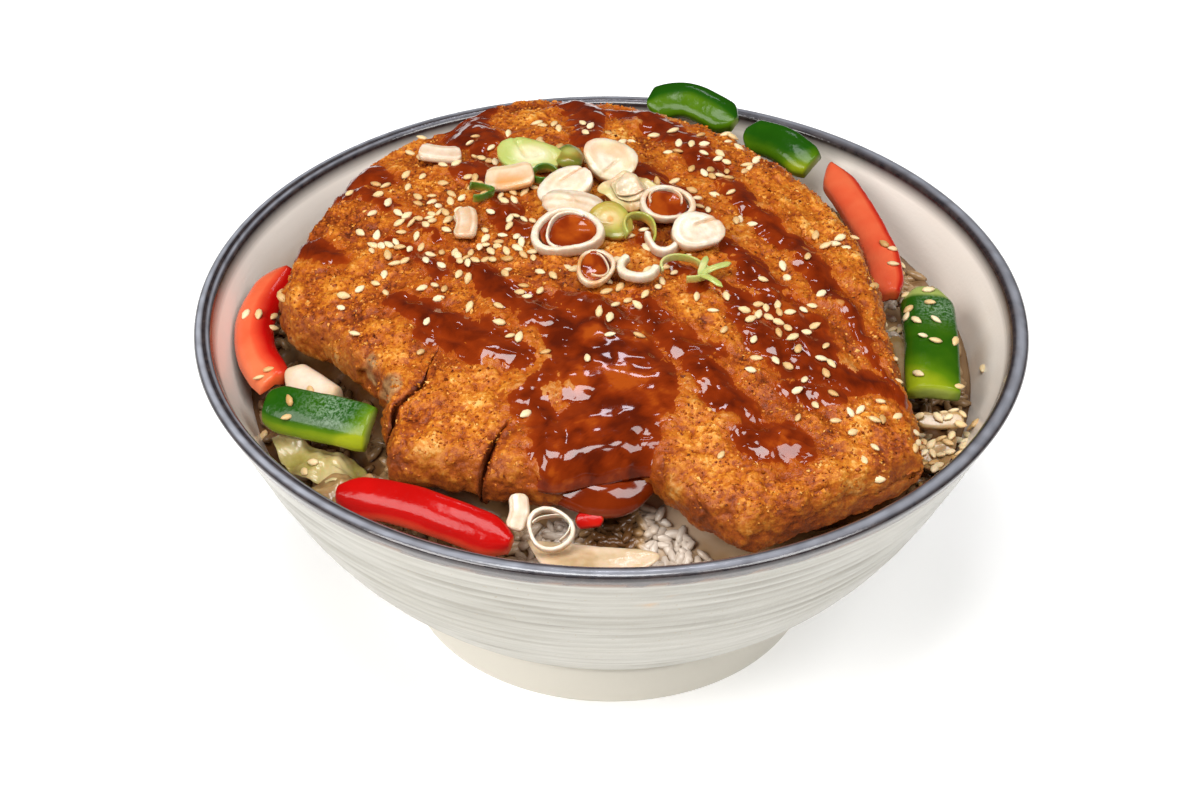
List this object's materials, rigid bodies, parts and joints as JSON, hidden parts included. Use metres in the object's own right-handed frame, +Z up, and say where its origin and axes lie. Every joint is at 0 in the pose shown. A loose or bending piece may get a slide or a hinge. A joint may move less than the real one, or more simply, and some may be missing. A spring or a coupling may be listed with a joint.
{
  "type": "rice bowl",
  "caption": "Round stoneware bowl on a foot ring, filled with rice under a sliced breaded cutlet, with pepper strips, cabbage and spring onion rings",
  "frame": {"origin": "centre of the underside of the bowl's foot", "axes": "+Z up, -Y towards the front of the dish, +X to its right as seen from the front"},
  "size_m": [0.2, 0.2, 0.105],
  "materials": {
    "ceramic": "glossy glaze",
    "rice_white": "soft",
    "crust": "rough",
    "green_skin": "waxy",
    "red_skin": "waxy",
    "leaf": "wet",
    "brown_leaf": "wet",
    "onion_white": "wet",
    "leek_white": "fresh",
    "leek_green": "fresh"
  },
  "bodies": {
    "root": {"bowl": "ceramic", "rice": "rice_white", "katsu_1": "crust", "katsu_2": "crust", "katsu_3": "crust", "katsu_4": "crust", "green_pepper_1": "green_skin", "green_pepper_2": "green_skin", "green_pepper_3": "green_skin", "green_pepper_4": "green_skin", "red_pepper_1": "red_skin", "red_pepper_2": "red_skin", "red_pepper_3": "red_skin", "red_pepper_4": "red_skin", "onion_stem": "onion_white", "cabbage_1": "leaf", "cabbage_2": "brown_leaf", "cabbage_3": "leaf", "onion_1": "onion_white", "onion_2": "onion_white", "onion_3": "onion_white", "onion_4": "onion_white", "spring_onion_1": "leek_green", "spring_onion_2": "leek_white", "spring_onion_3": "leek_green", "spring_onion_4": "leek_green", "spring_onion_5": "leek_green", "spring_onion_6": "leek_white", "spring_onion_7": "leek_white", "spring_onion_8": "leek_white", "spring_onion_9": "leek_white", "spring_onion_10": "leek_white", "spring_onion_11": "leek_white", "spring_onion_12": "leek_white", "spring_onion_13": "leek_white", "spring_onion_14": "leek_white", "spring_onion_15": "leek_white", "spring_onion_16": "leek_green", "spring_onion_17": "leek_green", "spring_onion_18": "leek_green", "spring_onion_19": "leek_white", "spring_onion_20": "leek_white", "spring_onion_21": "leek_white", "spring_onion_22": "leek_white"}
  },
  "joints": []
}
